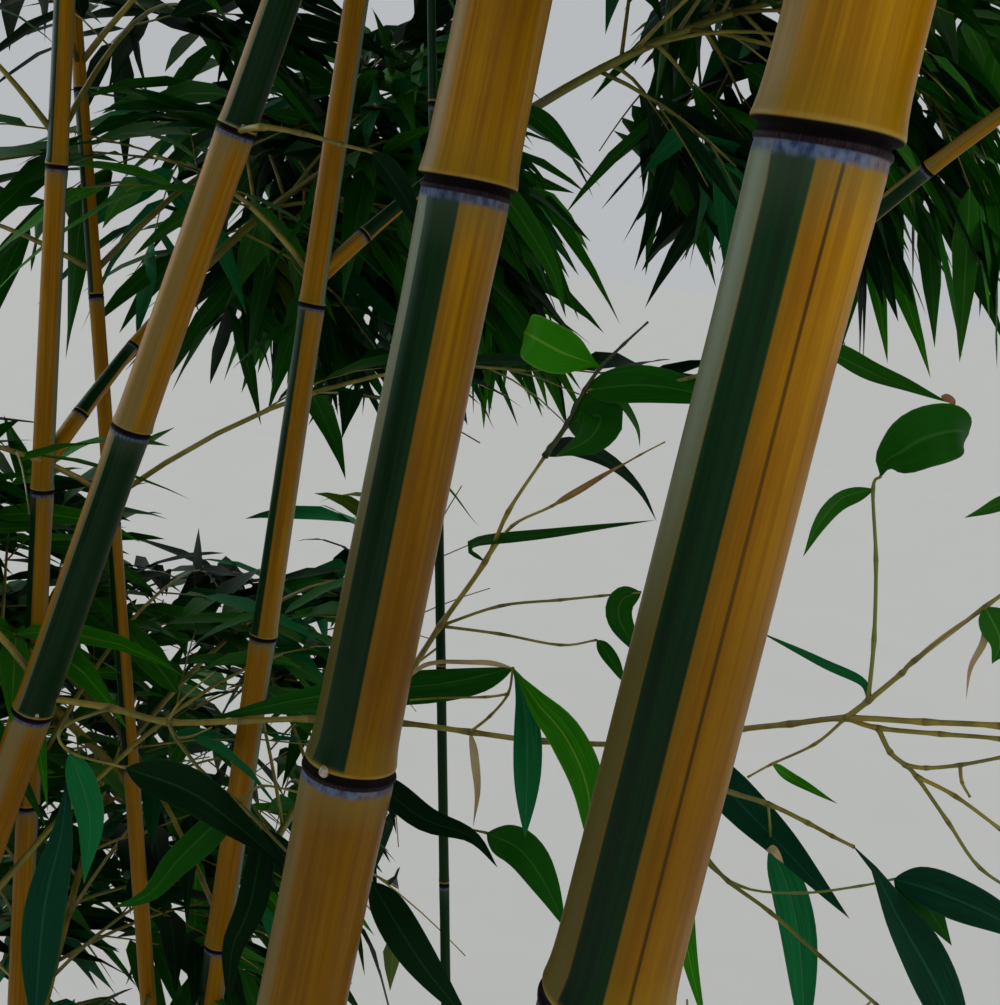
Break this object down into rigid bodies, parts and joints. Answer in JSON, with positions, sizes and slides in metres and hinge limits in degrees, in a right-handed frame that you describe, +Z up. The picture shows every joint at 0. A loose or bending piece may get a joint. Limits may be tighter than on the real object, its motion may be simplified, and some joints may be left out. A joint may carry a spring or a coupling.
{
  "type": "potted bamboo",
  "caption": "Tall clump of yellow bamboo with green-striped culms, boughs and leafy sprays, growing in a plain round pot.",
  "frame": {"origin": "middle of the pot's flat underside", "axes": "+Z up, +Y away from the viewer of the picture, +X to the viewer's right"},
  "size_m": [1.8132, 1.5912, 3.436],
  "materials": {
    "culm": "satin",
    "bough": "satin",
    "foliage": "satin",
    "pot": "matte",
    "soil": "matte"
  },
  "bodies": {
    "root": {"culm_front": "culm", "culm_middle": "culm", "culm_left": "culm", "culm_front_left": "culm", "culm_back_right": "culm", "culm_back": "culm", "culm_back_left": "culm", "culm_slim": "culm", "culm_shoot": "culm", "bough_front_1": "bough", "bough_front_2": "bough", "bough_front_3": "bough", "bough_middle_1": "bough", "bough_middle_2": "bough", "bough_middle_3": "bough", "bough_left_1": "bough", "bough_left_2": "bough", "bough_front_left_1": "bough", "bough_front_left_2": "bough", "bough_back_right_1": "bough", "bough_back_right_2": "bough", "bough_back_1": "bough", "bough_back_2": "bough", "bough_back_left_1": "bough", "bough_low_right": "bough", "foliage_front_1": "foliage", "foliage_front_2": "foliage", "foliage_front_3": "foliage", "foliage_middle_1": "foliage", "foliage_middle_2": "foliage", "foliage_middle_3": "foliage", "foliage_left_1": "foliage", "foliage_left_2": "foliage", "foliage_front_left_1": "foliage", "foliage_front_left_2": "foliage", "foliage_back_right_1": "foliage", "foliage_back_right_2": "foliage", "foliage_back_1": "foliage", "foliage_back_2": "foliage", "foliage_back_left_1": "foliage", "foliage_front_top": "foliage", "foliage_middle_top": "foliage", "foliage_left_top": "foliage", "foliage_front_left_top": "foliage", "foliage_back_right_top": "foliage", "foliage_back_top": "foliage", "foliage_back_left_top": "foliage", "foliage_slim_top": "foliage", "foliage_shoot_top": "foliage", "foliage_low_middle": "foliage", "foliage_low_right": "foliage", "foliage_low_left": "foliage", "foliage_low_back_left": "foliage", "foliage_low_back": "foliage", "foliage_low_back_right": "foliage", "foliage_low_front_left": "foliage", "pot": "pot", "soil": "soil"}
  },
  "joints": []
}
